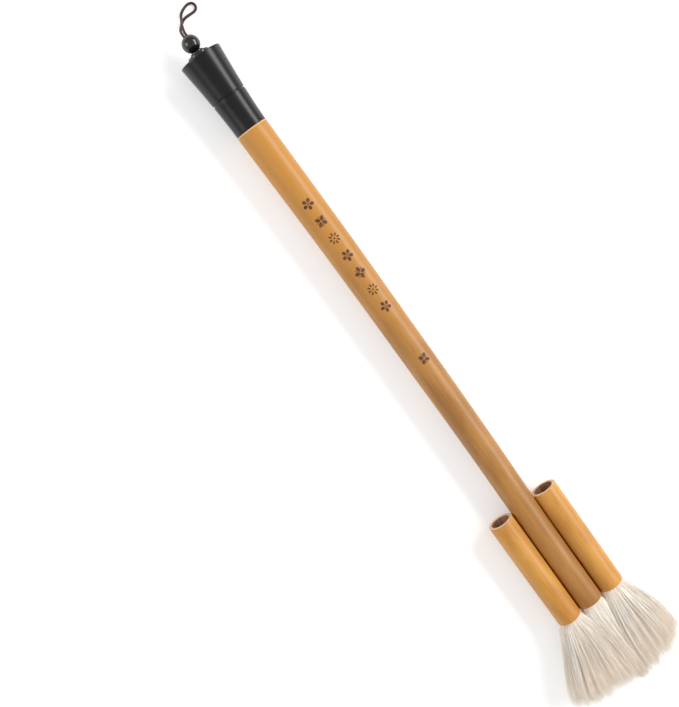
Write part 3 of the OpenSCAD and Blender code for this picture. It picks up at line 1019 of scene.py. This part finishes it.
def makeHairTree(material):
    # Turns guide lines into tapered three-sided hairs, one ring at every guide point
    tree = bpy.data.node_groups.new("hairMaker", "GeometryNodeTree")
    face = tree.interface
    face.new_socket("Guides", in_out="INPUT", socket_type="NodeSocketGeometry")
    for name, kind in (("Radius", "Float"), ("Tip Share", "Float"), ("Frizz", "Float"),
                       ("Seed", "Int")):
        face.new_socket(name, in_out="INPUT", socket_type="NodeSocket" + kind)
    face.new_socket("Hair", in_out="OUTPUT", socket_type="NodeSocketGeometry")
    g = Graph(tree)
    given = g.make("NodeGroupInput", None, None, "Guides")
    along = g.make("GeometryNodeInputNamedAttribute", {"data_type": "FLOAT"}, {"Name": "along"})
    thick = g.make("GeometryNodeInputNamedAttribute", {"data_type": "FLOAT"}, {"Name": "thick"})
    lines = g.make("GeometryNodeMeshToCurve", None, {"Mesh": given})
    spot = g.make("GeometryNodeInputPosition")
    ripple = g.make("ShaderNodeTexNoise", {"noise_dimensions": "4D"},
                    {"Vector": spot, "W": given.other("Seed"), "Scale": 420.0, "Detail": 1.0}, "Color")
    offset = g.vector("SUBTRACT", ripple, (0.5, 0.5, 0.5))
    offset = g.scaled(offset, given.other("Frizz") * along * 2.0)
    lines = g.make("GeometryNodeSetPosition", None, {"Geometry": lines, "Offset": offset})
    taper = 1.0 - along ** 2.2 * (1.0 - given.other("Tip Share"))
    ring = g.make("GeometryNodeCurvePrimitiveCircle", {"mode": "RADIUS"},
                  {"Resolution": 3, "Radius": 1.0})
    hair = g.make("GeometryNodeCurveToMesh", None,
                  {"Curve": lines, "Profile Curve": ring, "Fill Caps": True,
                   "Scale": given.other("Radius") * thick * taper})
    hair = g.make("GeometryNodeSetShadeSmooth", None, {"Geometry": hair, "Shade Smooth": True})
    hair = g.make("GeometryNodeRealizeInstances", None, {"Geometry": hair})
    hair = g.make("GeometryNodeSetMaterial", None, {"Geometry": hair, "Material": material})
    out = tree.nodes.new("NodeGroupOutput")
    tree.links.new(hair.socket, out.inputs["Hair"])
    return tree


def grown(tree, name, points, edges, values, inputs):
    # Runs the tree on guide lines and keeps the result as a plain mesh
    guides = newPiece(name + "Guides", points, [], [], edges=edges)
    for key, value in values.items():
        layer = guides.data.attributes.new(key, "FLOAT", "POINT")
        layer.data.foreach_set("value", np.asarray(value, np.float32))
    maker = guides.modifiers.new("hairMaker", "NODES")
    maker.node_group = tree
    for item in tree.interface.items_tree:
        if item.in_out == "INPUT" and item.name in inputs:
            maker[item.identifier] = inputs[item.name]
    bpy.context.view_layer.update()
    ready = guides.evaluated_get(bpy.context.evaluated_depsgraph_get())
    mesh = bpy.data.meshes.new_from_object(ready)
    mesh.name = name
    bpy.data.objects.remove(guides)
    piece = bpy.data.objects.new(name, mesh)
    bpy.context.scene.collection.objects.link(piece)
    return piece


def fanPoints(tuft, s, p, q, h):
    # Where hairs at places (p, q) of the round bundle pass at shares s of their way, in mm
    reach = np.hypot(p, q)
    cosine = np.where(reach > 1e-6, p / np.maximum(reach, 1e-6), 1)
    sine = np.where(reach > 1e-6, q / np.maximum(reach, 1e-6), 0)

    def fuller(v):
        return np.sign(v) * np.abs(v) ** 0.8

    across = cosine + (fuller(cosine) - cosine) * s
    up = sine + (fuller(sine) - sine) * s
    first, second = np.array(tuft["first"]), np.array(tuft["second"])
    along = [h["bendAt"] + (tip - h["bendAt"]) * s for tip in tuft["tips"]]
    y1 = np.interp(along[0], first[:, 0], first[:, 1])
    y2 = np.interp(along[2], second[:, 0], second[:, 1])
    edgeX = along[0] + (along[2] - along[0]) * (1 + across) / 2 - h["crownDrop"] * s * up ** 2
    half = h["rootR"] + (tuft["tipHalf"] - h["rootR"]) * s ** 0.8
    x = along[1] + (edgeX - along[1]) * reach ** 2
    y = (y1 + y2) / 2 + (y2 - y1) / 2 * across * reach
    return np.stack([x, y, half * reach * up], 1)


def eased(value, limit, over):
    # Rounds off what passes a limit, so that it never gets further than over past it
    return np.minimum(value, limit) + over * np.tanh(np.maximum(value - limit, 0) / over)


def makeTuft(name, tuft, h, tree):
    rng = np.random.default_rng(tuft["seed"])

    def spread(count, power):
        a, r = rng.uniform(0, 2 * np.pi, count), rng.uniform(0, 1, count) ** power
        return np.stack([r * np.cos(a), r * np.sin(a)], 1)

    def nearest(spots, centres):
        gaps = ((spots[:, None, :] - centres[None, :, :]) ** 2).sum(2)
        return gaps.argmin(1)

    locks, wisps = spread(h["locks"], h["lockSpread"]), spread(h["wisps"], h["wispSpread"])
    lockLean = rng.normal(0, 1, (h["locks"], 3)) * h["lockLean"]
    wispLean = rng.normal(0, 1, (h["wisps"], 3)) * h["wispLean"]
    lockTone = rng.normal(0, h["lockTone"], h["locks"])
    wispTone = rng.normal(0, h["wispTone"], h["wisps"])
    lockReach = rng.normal(0, h["lockReach"], h["locks"])
    wispReach = rng.normal(0, h["wispReach"], h["wisps"])
    shares, longest = np.array(h["shares"]), h["longest"]
    for number in range(h["piecesInTuft"]):
        count = h["hairsInPiece"]
        spots = spread(count, h["shell"])
        wisp = nearest(spots, wisps)
        lock = nearest(wisps, locks)[wisp]
        length = longest + lockReach[lock] + wispReach[wisp]
        length -= rng.gamma(*h["shortening"], count)
        length = np.clip(length, h["shortest"], longest)
        stray = rng.uniform(0, 1, count) < h["strayShare"]
        own = rng.normal(0, 1, (count, 3)) * h["ownLean"]
        own[stray] *= h["strayLean"]
        loose = np.where(stray, h["strayPull"], 1.0)
        lines = []
        for share in shares:
            s = np.clip(share * length, 0, longest)
            pull = s ** 0.6 * (1 - h["tipEase"] * s ** 2) * loose
            moved = spots + (locks[lock] - spots) * (h["lockPull"] * pull)[:, None]
            moved = moved + (wisps[wisp] - moved) * (h["wispPull"] * pull)[:, None]
            moved /= np.maximum(np.hypot(*moved.T), 1)[:, None]
            place = fanPoints(tuft, s, moved[:, 0], moved[:, 1], h)
            place += (lockLean[lock] + wispLean[wisp] + own) * (s ** 1.6)[:, None]
            if share < 0:
                rootY = tuft["root"] * tubePitch / mm
                place = np.stack([np.full(count, -h["rootDepth"]), rootY + spots[:, 0] * h["rootR"],
                                  spots[:, 1] * h["rootR"]], 1)
            place[:, 2] = np.maximum(eased(place[:, 2], h["topLimit"], h["easeOver"]),
                                     -axisZ / mm + h["aboveTable"])
            across = place[:, 1] + axisY / mm
            inside = eased(np.abs(across), h["sideLimit"], h["easeOver"])
            place[:, 1] += np.sign(across) * (inside - np.abs(across))
            lines.append(place)
        points = np.stack(lines, 1).reshape(-1, 3) * mm + (mouthX, axisY, axisZ)
        stations = len(shares)
        edges = [(i * stations + k, i * stations + k + 1)
                 for i in range(count) for k in range(stations - 1)]
        tone = np.clip(0.55 + lockTone[lock] + wispTone[wisp] + rng.normal(0, h["ownTone"], count), 0, 1)
        along = np.tile((shares - shares[0]) / (1 - shares[0]), count)
        thick = np.repeat(rng.uniform(0.75, 1.25, count), stations)
        piece = grown(tree, f"{name}Hair{number + 1}", points, edges,
                      {"along": along, "tone": np.repeat(tone, stations), "thick": thick},
                      {"Radius": h["hairRadius"], "Tip Share": h["tipShare"],
                       "Frizz": h["frizz"], "Seed": tuft["seed"] + number})
        rootY = axisY + tuft["root"] * tubePitch
        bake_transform(piece)
        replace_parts(piece, f"{name}_tuft")
        print(f"{piece.name}: {len(piece.data.polygons)} faces")


hairTree = makeHairTree(makeHairFinish(hairSettings))
for tuftName, tuft in tufts.items():
    makeTuft(tuftName, tuft, hairSettings, hairTree)
